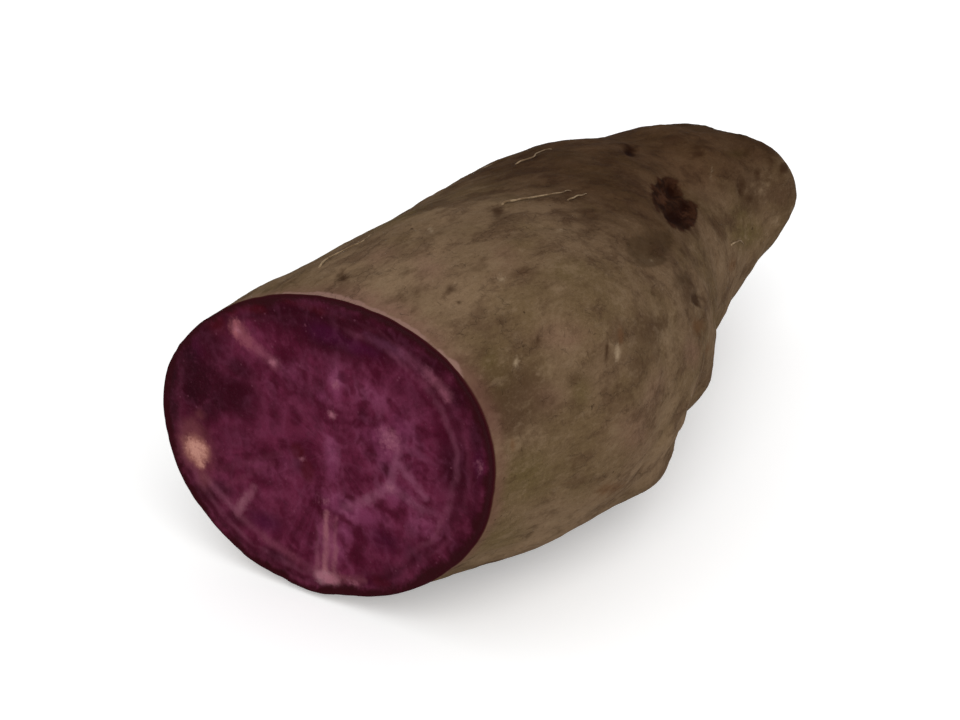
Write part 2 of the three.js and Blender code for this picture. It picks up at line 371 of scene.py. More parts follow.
def sample(tree, line):
    """Points of the solid's skin: one row of SPOKES points for each middle in the line."""
    angles = np.arange(SPOKES) * 2 * math.pi / SPOKES
    rays = [Vector((0, math.cos(a), math.sin(a))) for a in angles]
    return np.array([[tree.ray_cast(point, ray)[0] for ray in rays] for point in line])


def resample(rows, tip, count):
    """Rows at even steps along the skin, from the cut to just short of the tip."""
    mean = rows.mean(axis=1)
    radius = np.linalg.norm(rows - mean[:, None], axis=2).mean(axis=1)
    along = np.append(mean[:, 0], tip[0])
    across = np.append(radius, 0)
    steps = np.hypot(np.diff(along), np.diff(across))
    reach = np.concatenate([[0], np.cumsum(steps)])
    wanted = np.linspace(0, reach[-1], count + 1)[:-1]
    whole = np.concatenate([rows, np.broadcast_to(tip, (1, SPOKES, 3))])
    columns = whole.reshape(len(whole), -1).T
    out = np.array([np.interp(wanted, reach, column) for column in columns])
    return out.T.reshape(count, SPOKES, 3), reach[-1] / count


def bell(step):
    """The reach of the smoothing in steps, and its weights from -reach to reach."""
    reach = int(3 * SMOOTHING / step)
    weights = np.exp(-0.5 * (np.arange(-reach, reach + 1) * step / SMOOTHING) ** 2)
    return reach, weights / weights.sum()


def blurred(grid, step):
    """The grid smoothed over SMOOTHING. Past the tip the rows go on down the other side."""
    reach, weights = bell(step)
    over = np.roll(grid[::-1], SPOKES // 2, axis=1)[:reach]
    before = 2 * grid[:1] - grid[reach:0:-1]
    tall = np.concatenate([before, grid, over])
    along = sum(w * tall[i : i + len(grid)] for i, w in enumerate(weights))
    out = np.zeros_like(grid)
    spoke_step = np.linalg.norm(np.diff(grid[len(grid) // 3], axis=0), axis=1).mean()
    reach, weights = bell(spoke_step)
    for shift, w in zip(range(-reach, reach + 1), weights):
        out += w * np.roll(along, shift, axis=1)
    out[:, :, 0] = along[:, :, 0]
    return out


def unit(vectors):
    return vectors / np.linalg.norm(vectors, axis=-1, keepdims=True)


def grid_normals(grid):
    """Outward unit normals of a grid of rows."""
    over = np.roll(grid[-1:], SPOKES // 2, axis=1)
    tall = np.concatenate([grid[:1], grid, over])
    ahead = tall[2:] - tall[:-2]
    around = np.roll(grid, -1, axis=1) - np.roll(grid, 1, axis=1)
    return unit(np.cross(around, ahead))


class Skin:
    """The skin as a smooth grid: its limits, points, normals and distances from the cut."""

    def __init__(self):
        low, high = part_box(NODE)
        self.low, self.high = np.array(low) / MM, np.array(high) / MM
        tree = cad_tree()
        line = centreline(tree, Vector(self.low), Vector(self.high))
        tip = np.array(tree.ray_cast(line[-1], Vector((1, 0, 0)))[0])
        self.base = blurred(*resample(sample(tree, line), tip, SKIN_RINGS))
        self.base[0, :, 0] = self.low[0]
        self.normals = grid_normals(self.base)
        self.from_cut = self.base[:, :, 0] - self.low[0]

    def near(self, from_cut, around):
        """Index of the grid point nearest to a place on the skin."""
        row = int(np.abs(self.from_cut.mean(axis=1) - from_cut).argmin())
        return row, int(round(around / 360 * SPOKES)) % SPOKES

    def mark(self, from_cut, around, long, wide, turn=0):
        """Falloff round a place: 0 at its middle, 1 at an ellipse of half axes long and wide."""
        spot = self.near(from_cut, around)
        normal = self.normals[spot]
        ahead = unit(np.array([1, 0, 0]) - normal * normal[0])
        to = self.base - self.base[spot]
        along, across, depth = to @ ahead, to @ np.cross(normal, ahead), to @ normal
        c, s = math.cos(math.radians(turn)), math.sin(math.radians(turn))
        u, v = along * c + across * s, across * c - along * s
        return np.sqrt((u / long) ** 2 + (v / wide) ** 2 + (depth / max(long, wide)) ** 2)


# -------- relief


def field(points, scale, octaves=2, seed=0, stretch=(1, 1, 1)):
    """Smooth noise from -1 to 1 at each point, with features about scale millimetres wide."""
    places = (points / (scale * np.array(stretch)) + seed).reshape(-1, 3)
    basis = "PERLIN_ORIGINAL"
    values = [noise.fractal(p, 1.0, 2.0, octaves, noise_basis=basis) for p in places.tolist()]
    return np.array(values).reshape(points.shape[:-1])


def smoothstep(value, low, high):
    share = np.clip((value - low) / (high - low), 0, 1)
    return share * share * (3 - 2 * share)


def bump(distance, sharp=2):
    """A smooth hump from a falloff: 1 in the middle, about 0 past the edge."""
    return np.exp(-(distance**sharp) * 1.2)


def within(value, low, high):
    """The value, eased so that it never passes the limits: only the last LIMIT_EASE is squeezed."""
    centre, room = (low + high) / 2, (high - low) / 2 - LIMIT_EASE
    off = value - centre
    past = np.maximum(np.abs(off) - room, 0)
    return centre + np.sign(off) * (np.abs(off) - past + LIMIT_EASE * np.tanh(past / LIMIT_EASE))


def skin_relief(skin, off_edge):
    """Height of the skin over the smooth form."""
    height = 0
    for rise, size, seed, stretch, levels in SKIN_RELIEF:
        value = field(skin.base, size, seed=seed, stretch=stretch)
        height = height + rise * (smoothstep(value, *levels) if levels else value)
    height = (height - height.mean()) * (EDGE_RELIEF + (1 - EDGE_RELIEF) * off_edge)
    for from_cut, around, long, wide, lift, *turn in SKIN_FORMS:
        distance = skin.mark(from_cut, around, long, wide, *turn)
        ragged = distance + FORM_RAGGED * field(skin.base, FORM_GRAIN, seed=from_cut)
        height += lift * bump(ragged, 3)
        height += FORM_RIM * abs(lift) * bump(np.abs(distance - FORM_RIM_AT) * 3)
    return height


def skin_points(skin):
    """The skin with its relief, kept inside the CAD solid's box, and the relief itself."""
    off_edge = smoothstep(skin.from_cut, 0, EDGE_CALM)
    height = skin_relief(skin, off_edge)
    normals = skin.normals.copy()
    normals[:, :, 0] *= off_edge
    points = skin.base + unit(normals) * height[:, :, None]
    points[:, :, 1] = within(points[:, :, 1], skin.low[1], skin.high[1])
    points[:, :, 2] = np.maximum(within(points[:, :, 2], -skin.high[2], skin.high[2]), 0)
    points[0, :, 0] = skin.low[0]
    return points, height


def flesh_relief(offset, depth):
    """How deep the flesh lies behind the cut plane: a slight dish, fibres and knife marks."""
    radius = np.linalg.norm(offset, axis=1)
    direction = offset / np.maximum(radius, 1e-6)[:, None]
    fibres = field(direction * 9 + np.array([1.0, 0, 0]) * radius[:, None] * 0.12, 1, 3, seed=3)
    knife = field(offset * np.array([0, 0.05, 1.0]), 1.8, seed=9)
    swell = field(offset, 6, seed=15)
    dish = FLESH_SUNK + FLESH_DISH * smoothstep(depth, *DISH_REACH)
    return dish + FIBRE_RELIEF * fibres + KNIFE_RELIEF * knife + SWELL_RELIEF * swell


# -------- meshes


class Face:
    """The cut face inside the outline of the cut."""

    def __init__(self, outline):
        self.centre = np.array([outline[0, 0], *FACE_MIDDLE])
        self.to_rim = outline - self.centre
        self.radius = np.linalg.norm(self.to_rim, axis=1)

    def ring(self, inset, behind=0):
        """The outline moved in by an inset and behind the cut plane."""
        ring = self.centre + self.to_rim * (1 - inset / self.radius)[:, None]
        ring[:, 0] = self.centre[0] + behind
        return ring

    def rings(self):
        """Rings of the rim and the flesh, from the outline to the middle, with each ring's depth."""
        rings = [self.ring(*row) for row in RIM_ROWS]
        depths = [np.full(SPOKES, inset) for inset, _ in RIM_ROWS]
        for step in range(1, FACE_RINGS):
            share = 1 - step / FACE_RINGS
            inset = self.radius - (self.radius - RIM_ROWS[-1][0]) * share
            ring = self.ring(inset)
            ring[:, 0] += flesh_relief(ring - self.centre, inset)
            rings.append(ring)
            depths.append(inset)
        return rings, depths


def closed_grid(rings, first, last):
    """Points and faces of a closed form through rings of equal length, with a point at each end."""
    count, size = len(rings), len(rings[0])
    points = np.concatenate([[first], *rings, [last]])
    spoke = np.arange(size)
    after = (spoke + 1) % size
    quads = []
    for ring in range(count - 1):
        here, there = 1 + ring * size, 1 + (ring + 1) * size
        quads.append(np.stack([here + spoke, here + after, there + after, there + spoke], 1))
    end = 1 + (count - 1) * size
    first_cap = [(0, 1 + int(b), 1 + int(a)) for a, b in zip(spoke, after)]
    last_cap = [(len(points) - 1, end + int(a), end + int(b)) for a, b in zip(spoke, after)]
    return points, np.concatenate(quads).tolist() + last_cap + first_cap


def add_object(name, data):
    thing = bpy.data.objects.new(name, data)
    bpy.context.scene.collection.objects.link(thing)
    return thing


def add_mesh(name, points, faces, *materials):
    """A smooth mesh in the scene, from points in millimetres."""
    mesh = bpy.data.meshes.new(name)
    mesh.from_pydata((np.array(points) * MM).tolist(), [], faces)
    mesh.shade_smooth()
    for material in materials:
        mesh.materials.append(material)
    return add_object(name, mesh)


def build_tuber(skin, points, height):
    """The whole half as one closed mesh, with what the materials need to know at each point."""
    face = Face(points[0])
    points = points.copy()
    points[0, :, 0] = skin.low[0] + FIRST_ROW
    edge = [face.ring(*row) for row in EDGE_ROWS]
    flesh, depths = face.rings()
    tip = points[-1].mean(axis=0)
    tip[0] = skin.high[0]
    grid = closed_grid([*points[::-1], *edge, *flesh], tip, flesh[-1].mean(axis=0))
    tuber = add_mesh("tuber", *grid, skin_material(skin.low[0]), flesh_material(face.centre))

    # The mesh's points run from the root end over the skin to the rim and the middle of the face.
    skin_count = 1 + (len(points) + len(edge)) * SPOKES
    flesh_count = len(flesh) * SPOKES + 1

    def store(name, *values):
        attribute = tuber.data.attributes.new(name, "FLOAT", "POINT")
        attribute.data.foreach_set("value", np.concatenate(values).astype(np.float32))

    def store_skin(name, values):
        store(name, [0], values[::-1].ravel(), np.zeros(len(edge) * SPOKES + flesh_count))

    middle_radius = face.radius.mean()
    depth = np.concatenate([*depths, [middle_radius]])
    reach = np.concatenate([np.tile(face.radius, len(flesh)), [middle_radius]])
    store("depth", np.zeros(skin_count), depth)
    store("share", np.ones(skin_count), 1 - depth / reach)
    store_skin("hollow", -height)
    for name, marks in SKIN_MARKS.items():
        values = 0
        for from_cut, around, long, wide, strength, *turn in marks:
            distance = skin.mark(from_cut, around, long, wide, *turn)
            values = np.maximum(values, strength * bump(distance))
        store_skin(name, values)
    # Darker over the top towards the root end: partly browner skin, partly painted shade.
    over = np.cos(np.radians(np.arange(SPOKES) * 360 / SPOKES - BROWN_SHADE_TOWARDS))
    store_skin("brown_and_shade", smoothstep(skin.from_cut, *BROWN_SHADE_ALONG) * smoothstep(over, *BROWN_SHADE_ROUND))
    offset = np.concatenate([*flesh, flesh[-1][:1]]) - face.centre
    for name, tints in FLESH_TINTS.items():
        values = 0
        for y, z, half_y, half_z, strength in tints:
            away = np.hypot((offset[:, 1] - y) / half_y, (offset[:, 2] - z) / half_z)
            values = np.maximum(values, strength * bump(away))
        store(name, np.zeros(skin_count), values)

    first_flesh = (len(points) + len(edge) - 1) * SPOKES
    index = np.arange(len(tuber.data.polygons))
    is_flesh = (index >= first_flesh) & (index < len(index) - SPOKES)
    tuber.data.polygons.foreach_set("material_index", is_flesh.astype(np.int32))
    return tuber


def smooth_path(places):
    """A curve through the places: rows of numbers joined without corners."""
    p = np.array(places, dtype=float)
    p = np.vstack([2 * p[0] - p[1], p, 2 * p[-1] - p[-2]])
    out = []
    for i in range(1, len(p) - 2):
        for t in np.arange(ROOTLET_STEPS) / ROOTLET_STEPS:
            a, b, c, d = p[i - 1 : i + 3]
            line = 2 * b + (c - a) * t + (2 * a - 5 * b + 4 * c - d) * t**2
            out.append((line + (3 * b - a - 3 * c + d) * t**3) / 2)
    out.append(p[-2])
    return np.array(out)


def rootlet_line(skin, points, places, index):
    """The middle line of a rootlet: it lies on the skin and sinks in at both ends."""
    path = smooth_path(places)
    line = []
    for step, (from_cut, around) in enumerate(path):
        spot = skin.near(from_cut, around % 360)
        share = step / (len(path) - 1)
        wander = noise.noise(Vector((step * 0.12, index, 0)))
        arch = math.sin(share * math.pi) ** 0.5 + ROOTLET_WANDER * wander
        rise = ROOTLET_LIFT + ROOTLET_ARCH * arch if 0 < share < 1 else -ROOTLET_SUNK
        line.append(points[spot] + skin.normals[spot] * rise)
    line = np.array(line)
    for _ in range(3):
        line[1:-1] = (line[:-2] + 2 * line[1:-1] + line[2:]) / 4
    return line


def build_rootlets(skin, points):
    """Fine roots as thin closed tubes that lie on the skin, in one mesh."""
    angles = np.arange(ROOTLET_SIDES)[:, None] * 2 * math.pi / ROOTLET_SIDES
    corners, faces = [], []
    for index, (places, root_radius) in enumerate(ROOTLETS):
        line = rootlet_line(skin, points, places, index)
        ahead = unit(np.gradient(line, axis=0))
        across = unit(np.cross(ahead, np.array([0, 0, 1])))
        upward = np.cross(across, ahead)
        rings = []
        for step, point in enumerate(line):
            taper = 1 - ROOTLET_TAPER * step / (len(line) - 1)
            uneven = 1 + ROOTLET_UNEVEN * noise.noise(Vector((step * 0.6, index, 5)))
            size = root_radius * taper * uneven
            ring = point + across[step] * np.cos(angles) * size + upward[step] * np.sin(angles) * size
            rings.append(np.clip(ring, skin.low + BOX_GAP, skin.high - BOX_GAP))
        tube, tube_faces = closed_grid(rings[::-1], line[-1], line[0])
        faces += [[len(corners) + v for v in face] for face in tube_faces]
        corners += tube.tolist()
    return add_mesh("rootlets", corners, faces, rootlet_material())


# -------- materials


def add_node(tree, kind, inputs=None, **settings):
    """A new node. Each input, by name or number, is linked to a socket or set to a value."""
    node = tree.nodes.new("ShaderNode" + kind)
    for name, value in settings.items():
        setattr(node, name, value)
    for key, value in (inputs or {}).items():
        if isinstance(value, bpy.types.NodeSocket):
            tree.links.new(value, node.inputs[key])
        else:
            node.inputs[key].default_value = value
    return node


def colour(red, green, blue):
    """A screen colour as the linear colour that a shader takes."""
    linear = [((v / 255 + 0.055) / 1.055) ** 2.4 if v > 10 else v / 255 / 12.92 for v in (red, green, blue)]
    return (*linear, 1.0)


class Shader:
    """One procedural material. Its methods add nodes and give back an output socket."""

    def __init__(self, name):
        self.material = bpy.data.materials.new(name)
        self.material.use_nodes = True
        self.material.node_tree.nodes.clear()
        self.tone = None
        place = self.node("TexCoord").outputs["Object"]
        self.place = self.vector("MULTIPLY", place, (1 / MM,) * 3)

    def node(self, kind, inputs=None, **settings):
        return add_node(self.material.node_tree, kind, inputs, **settings)

    def math(self, operation, *values, clamp=False):
        inputs = dict(enumerate(values))
        return self.node("Math", inputs, operation=operation, use_clamp=clamp).outputs[0]

    def vector(self, operation, *values):
        node = self.node("VectorMath", dict(enumerate(values)), operation=operation)
        return node.outputs["Value" if operation in ("DOT_PRODUCT", "DISTANCE") else "Vector"]

    def texture(self, kind, size, seed, stretch=(1, 1, 1), where=None):
        """A texture node whose features are about size millimetres wide, longer along a stretch."""
        scale = tuple(1 / (size * s) for s in stretch)
        at = self.vector("MULTIPLY_ADD", where or self.place, scale, (seed,) * 3)
        return self.node(kind, {"Scale": 1, "Vector": at})

    def noise(self, size, detail=3, rough=0.55, output="Fac", **place):
        """Noise from 0 to 1, mostly between 0.3 and 0.7."""
        node = self.texture("TexNoise", size, **place)
        node.inputs["Detail"].default_value = detail
        node.inputs["Roughness"].default_value = rough
        return node.outputs[output]

    def warped(self, reach, size, seed, where=None):
        """The place, pushed about, mostly by less than reach millimetres."""
        push = self.noise(size, detail=2, rough=0.5, output="Color", seed=seed, where=where)
        push = self.vector("SUBTRACT", push, (0.5,) * 3)
        return self.vector("MULTIPLY_ADD", push, (reach * 4,) * 3, where or self.place)

    def cracks(self, size, **place):
        """Distance from the borders of scattered cells, as a share of their size."""
        node = self.texture("TexVoronoi", size, **place)
        node.feature = "DISTANCE_TO_EDGE"
        return node.outputs["Distance"]

    def spots(self, spacing, radius, chance, **place):
        """1 inside scattered spots and 0 between them. Chance is the share of places with a spot."""
        node = self.texture("TexVoronoi", spacing, **place)
        luck, size, _ = self.node("SeparateXYZ", {0: node.outputs["Color"]}).outputs
        reach = self.ramp(size, (0.4 * radius / spacing, 1.4 * radius / spacing))
        inside = self.between(self.math("DIVIDE", node.outputs["Distance"], reach), 1, 0.45)
        return self.math("MULTIPLY", inside, self.math("LESS_THAN", luck, chance))

    def between(self, value, low, high):
        """0 at low, 1 at high, smooth between. Low may be the larger."""
        falls = float(low > high)
        limits = {"From Min": min(low, high), "From Max": max(low, high)}
        inputs = {"Value": value, **limits, "To Min": falls, "To Max": 1 - falls}
        return self.node("MapRange", inputs, interpolation_type="SMOOTHSTEP").outputs["Result"]

    def band(self, value, centre, wide, narrow):
        """0 where the value is further than wide from the centre, 1 where it is nearer than narrow."""
        return self.between(self.math("ABSOLUTE", self.math("SUBTRACT", value, centre)), wide, narrow)

    def ramp(self, share, pair):
        """From the pair's first number to its second."""
        return self.math("MULTIPLY_ADD", share, pair[1] - pair[0], pair[0])

    def times(self, *values):
        out = values[0]
        for value in values[1:]:
            out = self.math("MULTIPLY", out, value)
        return out

    def total(self, *pairs):
        """The sum of sockets, each times its number."""
        out = self.times(*pairs[0])
        for value, number in pairs[1:]:
            out = self.math("MULTIPLY_ADD", value, number, out)
        return out

    def ragged(self, value, *grains):
        """The value with noises added, each up to its amount, so that its edge comes out ragged."""
        for grain, amount in grains:
            value = self.math("ADD", value, self.ramp(grain, (-amount, amount)))
        return value

    def stored(self, name):
        return self.node("Attribute", attribute_name=name).outputs["Fac"]

    def segment(self, where, start, end):
        """Distance from a straight line on the face, and the share of the way along it."""
        a, b = Vector((0, *start)), Vector((0, *end))
        to = self.vector("SUBTRACT", where, a)
        along = self.vector("DOT_PRODUCT", to, (b - a) / (b - a).length_squared)
        share = self.math("ADD", along, 0, clamp=True)
        way = self.node("VectorMath", {0: b - a, "Scale": share}, operation="SCALE")
        return self.vector("DISTANCE", to, way.outputs["Vector"]), share

    def mix(self, share, *pair):
        """From the pair's first to its second by a share. Each is a socket or a screen colour."""
        first, second = [p if isinstance(p, bpy.types.NodeSocket) else colour(*p) for p in pair]
        return self.node("Mix", {0: share, 6: first, 7: second}, data_type="RGBA").outputs[2]

    def coat(self, share, strength, paint):
        """Paints over the tone, as strongly as a socket times a strength."""
        self.tone = self.mix(self.times(share, strength), self.tone, paint)

    def layer(self, value, limits, strength, paint):
        """Paints over the tone where a value passes the limits."""
        self.coat(self.between(value, *limits), strength, paint)

    def mark(self, name, grain, rough, limits, strength, paint):
        """Paints over the tone where a stored mark, made ragged by a noise, passes the limits."""
        self.layer(self.ragged(self.stored(name), (grain, rough)), limits, strength, paint)

    def scaled(self, *factors):
        """The tone so far, with each channel times its factor."""
        return self.vector("MULTIPLY", self.tone, factors)

    def finish(self, roughness, specular, height):
        """The material, with the tone as its colour. Height is in millimetres."""
        normal = self.node("Bump", {"Distance": MM, "Height": height}).outputs[0]
        inputs = {"Base Color": self.tone, "Roughness": roughness, "Specular IOR Level": specular}
        surface = self.node("BsdfPrincipled", {**inputs, "Normal": normal})
        self.node("OutputMaterial", {"Surface": surface.outputs[0]})
        return self.material


def skin_material(cut_x):
    s = Shader("skin")
    along = s.node("SeparateXYZ", {0: s.place}).outputs[0]
    from_cut = s.math("SUBTRACT", along, cut_x)
    warped = s.warped(0.7, 1.6, seed=4)
    crumpled = s.warped(0.22, 0.6, seed=9, where=warped)
    patches = s.noise(14, seed=3)
    mottle = s.noise(5.2, detail=4, rough=0.6, stretch=(1.8, 1, 1), seed=8)
    dapple = s.noise(1.8, detail=4, stretch=(1.8, 1, 1), seed=12)
    grain = s.noise(0.5, rough=0.6, stretch=(1.6, 1, 1), seed=1)
    fine = s.noise(0.26, detail=2, rough=0.6, stretch=(1.6, 1, 1), seed=27, where=crumpled)

    # Broad colour: pinkish beige in places, olive in others.
    s.tone = s.mix(s.between(patches, 0.38, 0.62), (98, 79, 56), (108, 87, 66))
    # Lighter skin, partly painted light on the underside and on the top next to the cut.
    s.mark("light", mottle, 0.3, (0, 1), 0.9, (128, 105, 82))
    s.mark("olive", mottle, 0.4, (0, 1), 0.68, (84, 71, 40))
    s.mark("pink", mottle, 0.4, (0, 1), 0.7, (120, 90, 76))
    # Browner skin, partly painted shade towards the root end.
    s.mark("brown", mottle, 0.35, (0, 1), 0.8, (66, 47, 33))

    # Mottling at several sizes.
    s.layer(mottle, (0.48, 0.64), 0.5, (74, 55, 39))
    s.layer(mottle, (0.44, 0.3), 0.45, (124, 103, 80))
    s.layer(dapple, (0.5, 0.68), 0.33, (70, 52, 36))
    s.layer(dapple, (0.46, 0.3), 0.3, (128, 107, 85))
    s.layer(grain, (0.45, 0.75), 0.22, (72, 54, 38))
    s.layer(grain, (0.5, 0.25), 0.16, (128, 108, 87))

    # Short cross marks, faint net cracks, and small ragged spots, pits and flecks.
    crossing = s.noise(1, detail=2, stretch=(0.5, 2.6, 2.6), seed=21, where=warped)
    here = s.between(s.noise(9, detail=1, seed=17), 0.45, 0.6)
    lenticel = s.times(s.between(crossing, 0.64, 0.74), here)
    net = s.between(s.cracks(3.2, stretch=(1.6, 1, 1), seed=6, where=crumpled), 0.06, 0)
    netted = s.times(net, s.between(mottle, 0.42, 0.6))
    speck = s.spots(5.2, 0.7, 0.45, seed=2, where=crumpled)
    pit = s.spots(3.1, 0.26, 0.4, seed=41, where=crumpled)
    fleck = s.spots(6.5, 0.55, 0.35, stretch=(1.8, 1, 1), seed=31, where=crumpled)
    s.coat(lenticel, 0.2, (62, 44, 28))
    s.coat(netted, 0.18, (70, 52, 38))
    s.coat(s.times(speck, s.between(dapple, 0.35, 0.6)), 0.5, (60, 43, 29))
    s.coat(pit, 0.6, (52, 36, 24))
    s.coat(s.times(fleck, s.between(grain, 0.3, 0.55)), 0.4, (132, 113, 90))

    # Darker over the top: partly browner skin, partly painted shade. The finest speckle lies over light and
    # brown skin alike.
    s.mark("brown_and_shade", mottle, 0.25, (0, 1), 1, s.scaled(0.44, 0.36, 0.31))
    s.layer(fine, (0.52, 0.72), 0.32, s.scaled(0.5, 0.46, 0.42))
    s.layer(fine, (0.46, 0.26), 0.28, s.scaled(1.6, 1.62, 1.66))

    # Darker skin in the hollows, then the marks.
    s.mark("hollow", dapple, 0.25, (0.15, 0.9), 0.3, (58, 42, 28))
    s.mark("stain", dapple, 0.6, (0.1, 0.8), 0.8, (50, 31, 18))
    s.mark("rust", dapple, 0.6, (0.1, 0.9), 0.55, (96, 66, 43))
    s.mark("pale", grain, 0.5, (0.15, 0.8), 0.8, (148, 128, 104))
    s.mark("dent", dapple, 0.15, (0.2, 0.5), 0.55, (58, 42, 26))
    inside = s.mix(s.between(dapple, 0.4, 0.6), (28, 10, 4), (52, 29, 17))
    s.mark("scar", dapple, 0.3, (0.18, 0.36), 0.95, inside)
    s.mark("core", dapple, 0.6, (0.2, 0.8), 0.9, (24, 6, 2))
    s.mark("cork", grain, 0.8, (0.2, 0.8), 0.6, (68, 43, 29))

    # Next to the cut the skin is thin and shows pink, with a dark line at the very edge and a
    # pale lip in places.
    s.mark("wine", mottle, 0.5, (0, 1), 0.7, (80, 48, 42))
    s.layer(s.ragged(from_cut, (mottle, 1.2), (dapple, 2)), (3, 0.4), 0.35, (116, 84, 72))
    s.layer(from_cut, (0.5, 0.14), 1, (54, 20, 21))
    lip = s.between(s.ragged(s.stored("lip"), (mottle, 0.5), (dapple, 0.5)), 0.3, 0.6)
    s.coat(s.times(lip, s.between(from_cut, 2, 1)), 0.85, (136, 105, 95))

    low = [(lenticel, -0.1), (netted, -0.08), (pit, -0.1)]
    height = s.total((grain, 0.09), (fine, 0.05), (dapple, 0.2), *low, (fleck, 0.06))
    return s.finish(roughness=0.85, specular=0.01, height=height)


def flesh_material(centre):
    s = Shader("flesh")
    flat = s.vector("MULTIPLY", s.vector("SUBTRACT", s.place, centre.tolist()), (0, 1, 1))
    direction = s.vector("NORMALIZE", flat)
    clouds = s.noise(5.5, detail=4, seed=5)
    mottle = s.noise(2.2, rough=0.5, seed=6)
    grain = s.noise(0.6, rough=0.6, seed=16)
    fine = s.noise(0.3, detail=2, rough=0.6, seed=23)

    def towards(degrees):
        """1 on the side of the face that lies in a direction, -1 on the other side."""
        way = math.radians(degrees)
        return s.vector("DOT_PRODUCT", direction, (0, math.cos(way), math.sin(way)))

    # Ground colour, clouds in it, and rays that run out from the middle.
    outwards = s.vector("MULTIPLY", direction, (10, 10, 10))
    long_rays = s.vector("MULTIPLY_ADD", flat, (0, 0.05, 0.05), outwards)
    rays = s.noise(1, detail=4, where=long_rays, seed=4)
    s.tone = s.mix(s.between(clouds, 0.36, 0.64), (66, 10, 31), (90, 28, 52))
    s.layer(mottle, (0.5, 0.68), 0.45, (106, 42, 66))
    s.layer(mottle, (0.5, 0.34), 0.45, (54, 4, 20))
    s.layer(rays, (0.52, 0.72), 0.22, (106, 44, 70))
    s.layer(rays, (0.48, 0.3), 0.28, (50, 4, 20))

    # The cambium ring: dark flesh outside it, and one or two pale lines where it shows.
    ring = s.ramp(towards(RING_TOWARDS), (RING_MEAN, RING_MEAN + RING_SWING))
    off = s.math("SUBTRACT", s.stored("share"), ring)
    off = s.ragged(off, (s.noise(7, detail=2, seed=2), 0.05), (mottle, 0.015))
    cortex = s.mix(s.between(mottle, 0.35, 0.65), (52, 8, 22), (76, 24, 42))
    s.layer(off, (-0.02, 0.05), 0.55, cortex)
    s.coat(s.band(off, 0.045, 0.045, 0), 0.35, (44, 5, 16))
    right, low = s.between(towards(RING_RIGHT), 0.35, 0.8), s.between(towards(RING_LOW), 0.7, 0.95)
    shown = s.ramp(s.math("MAXIMUM", right, low), (0.05, 0.3))
    shown = s.times(shown, s.between(s.noise(3.5, seed=9), 0.3, 0.6))

    # Tints, the ring's lines, then the pale net that is strongest in the lilac flesh.
    s.mark("lilac", mottle, 0.6, (0.1, 1), 0.8, (114, 50, 80))
    s.mark("shade", mottle, 0.3, (0, 0.9), 0.9, (42, 2, 14))
    s.mark("blue", mottle, 0.3, (0.1, 1), 0.6, (62, 9, 42))
    s.mark("red", mottle, 0.4, (0.1, 0.8), 0.75, (62, 6, 15))
    s.coat(s.band(off, 0, 0.032, 0.002), shown, (118, 66, 84))
    s.coat(s.times(s.band(off, 0.075, 0.022, 0.002), shown), 0.6, (100, 48, 66))
    net = s.between(s.cracks(4.6, seed=3, where=s.warped(1.1, 3, seed=7)), 0.17, 0)
    there = s.times(s.ramp(s.stored("lilac"), (0.1, 0.8)), s.between(clouds, 0.35, 0.6))
    s.coat(net, there, (128, 66, 94))

    # Veins and fibres, spots where side roots leave, and grain.
    wandering = s.warped(0.14, 1.4, seed=11, where=s.warped(0.16, 5, seed=12, where=flat))
    patchy = s.ramp(s.between(mottle, 0.4, 0.6), (0.65, 1.15))
    for start, end, widths, paint, strengths in FLESH_STREAKS:
        distance, part = s.segment(wandering, start, end)
        relative = s.ragged(s.math("DIVIDE", distance, s.ramp(part, widths)), (grain, 0.9))
        inside = s.times(s.between(relative, 1.8, 0.1), patchy)
        s.coat(inside, s.ramp(part, strengths), paint)
    s.mark("bright", grain, 0.4, (0.1, 0.9), 0.8, (154, 96, 110))
    s.mark("tan", mottle, 0.4, (0.1, 0.9), 0.7, (98, 50, 54))
    s.mark("salmon", mottle, 0.25, (0.15, 0.75), 0.85, (150, 98, 88))
    s.mark("salmon", grain, 0.6, (0.35, 1), 0.8, (188, 136, 122))
    s.layer(grain, (0.5, 0.8), 0.1, (116, 60, 82))
    s.layer(grain, (0.5, 0.22), 0.15, (46, 4, 16))
    s.coat(s.spots(1.5, 0.2, 0.3, seed=14, where=wandering), 0.2, (128, 74, 92))
    s.layer(fine, (0.52, 0.74), 0.28, s.scaled(0.6, 0.5, 0.56))
    s.layer(fine, (0.46, 0.26), 0.24, s.scaled(1.5, 1.8, 1.6))

    # The dark line under the skin, wider and narrower by turns.
    width = s.noise(9, detail=2, seed=19)
    line = s.ragged(s.stored("depth"), (width, 1.6), (mottle, 0.9), (grain, 0.5))
    line = s.math("MULTIPLY_ADD", s.between(towards(LINE_TOWARDS), -0.6, 0.8), -0.6, line)
    s.layer(line, (1.7, 0.4), 0.95, (42, 7, 12))

    height = s.total((rays, 0.08), (mottle, 0.1), (grain, 0.05), (fine, 0.04))
    return s.finish(roughness=s.ramp(mottle, (0.35, 0.65)), specular=0.02, height=height)


def rootlet_material():
    s = Shader("rootlet")
    grain = s.noise(0.3, detail=2, seed=5)
    s.tone = s.mix(s.between(s.noise(1.4, seed=1), 0.38, 0.62), (108, 86, 62), (148, 126, 98))
    s.layer(grain, (0.5, 0.7), 0.4, (74, 55, 38))
    return s.finish(roughness=0.75, specular=0.15, height=s.times(grain, 0.06))


# -------- stage


def direction_to(azimuth, elevation):
    """The direction towards the camera or the light, with azimuth 0 from -Y and 90 from +X."""
    a, e = math.radians(azimuth), math.radians(elevation)
    return Vector((math.sin(a) * math.cos(e), -math.cos(a) * math.cos(e), math.sin(e)))


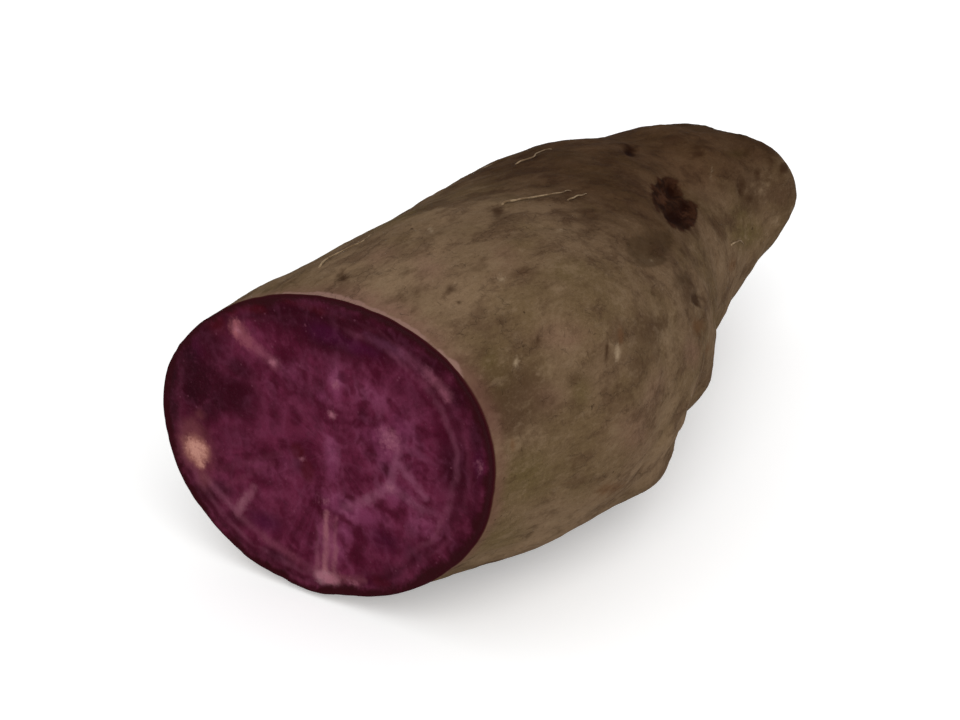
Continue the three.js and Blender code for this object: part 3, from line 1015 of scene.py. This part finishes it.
def add_camera(piece):
    """Looks from the set direction, with the piece in the middle of the frame."""
    back = direction_to(AZIMUTH, ELEVATION)
    turn = (-back).to_track_quat("-Z", "Y") @ Quaternion((0, 0, 1), math.radians(ROLL))
    right, up = np.array(turn @ Vector((1, 0, 0))), np.array(turn @ Vector((0, 1, 0)))
    points = np.empty(len(piece.data.vertices) * 3)
    piece.data.vertices.foreach_get("co", points)
    points = points.reshape(-1, 3)
    aim = np.array((cad_low + cad_high) / 2)
    distance = DISTANCE * MM
    for _ in range(4):
        away = distance - (points - aim) @ np.array(back)
        x = (points - aim) @ right / away
        y = (points - aim) @ up / away
        aim = aim + right * (x.max() + x.min()) / 2 * distance
        aim = aim + up * (y.max() + y.min()) / 2 * distance
    lens = bpy.data.cameras.new("camera")
    lens.sensor_width = SENSOR
    lens.lens = SENSOR * FRAME_SHARE / (x.max() - x.min())
    camera = add_object("camera", lens)
    camera.rotation_mode = "QUATERNION"
    camera.rotation_quaternion = turn
    camera.location = Vector(aim) + back * distance
    bpy.context.scene.camera = camera


def add_key_light():
    """A far soft light. Level 1 lights a surface that faces it as brightly as it is written."""
    light = bpy.data.lights.new("key", "SUN")
    light.energy = KEY_LEVEL * math.pi
    light.angle = math.radians(KEY_SOFTNESS)
    sun = add_object("key", light)
    sun.rotation_mode = "QUATERNION"
    sun.rotation_quaternion = direction_to(KEY_AZIMUTH, KEY_ELEVATION).to_track_quat("Z", "Y")


def add_floor():
    """A pale floor, brighter where the camera or a reflection sees it than where it lights."""
    material = bpy.data.materials.new("floor")
    material.use_nodes = True
    tree = material.node_tree
    tree.nodes.clear()
    path = add_node(tree, "LightPath").outputs
    rays = {0: path["Is Camera Ray"], 1: path["Is Glossy Ray"]}
    seen = add_node(tree, "Math", rays, operation="MAXIMUM").outputs[0]
    level = add_node(tree, "Math", {0: seen, 1: FLOOR_GLOW}, operation="MULTIPLY").outputs[0]
    glow = add_node(tree, "Emission", {"Strength": level}).outputs[0]
    plain = add_node(tree, "BsdfDiffuse", {"Color": (FLOOR_TONE, FLOOR_TONE, FLOOR_TONE, 1)}).outputs[0]
    both = add_node(tree, "AddShader", {0: plain, 1: glow}).outputs[0]
    add_node(tree, "OutputMaterial", {"Surface": both})
    sides = [(-1, -1), (1, -1), (1, 1), (-1, 1)]
    corners = [(x * FLOOR_HALF, y * FLOOR_HALF, -FLOOR_DROP) for x, y in sides]
    floor = add_mesh("floor", corners, [(0, 1, 2, 3)], material)


def add_world():
    """White where the camera sees it, and SKY_LEVEL as a light."""
    world = bpy.data.worlds.new("world")
    bpy.context.scene.world = world
    world.use_nodes = True
    tree = world.node_tree
    seen = add_node(tree, "LightPath").outputs["Is Camera Ray"]
    level = add_node(tree, "MapRange", {"Value": seen, "To Min": SKY_LEVEL, "To Max": 1})
    background = tree.nodes["Background"]
    background.inputs["Color"].default_value = (1, 1, 1, 1)
    tree.links.new(level.outputs[0], background.inputs["Strength"])


# -------- main

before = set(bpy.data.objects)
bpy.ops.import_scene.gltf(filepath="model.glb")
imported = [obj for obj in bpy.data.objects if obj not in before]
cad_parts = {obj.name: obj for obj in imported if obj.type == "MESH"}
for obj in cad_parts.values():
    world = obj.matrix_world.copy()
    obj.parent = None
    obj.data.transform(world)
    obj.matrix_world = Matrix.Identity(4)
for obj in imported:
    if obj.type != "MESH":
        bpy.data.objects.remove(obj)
cad_low, cad_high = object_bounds()
bpy.context.scene.view_settings.view_transform = "Standard"

skin = Skin()
skin_surface, skin_height = skin_points(skin)
tuber = build_tuber(skin, skin_surface, skin_height)
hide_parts(NODE)
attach(tuber, "root")
rootlets = build_rootlets(skin, skin_surface)
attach(rootlets, "root")

add_camera(tuber)
add_floor()
add_world()
add_key_light()
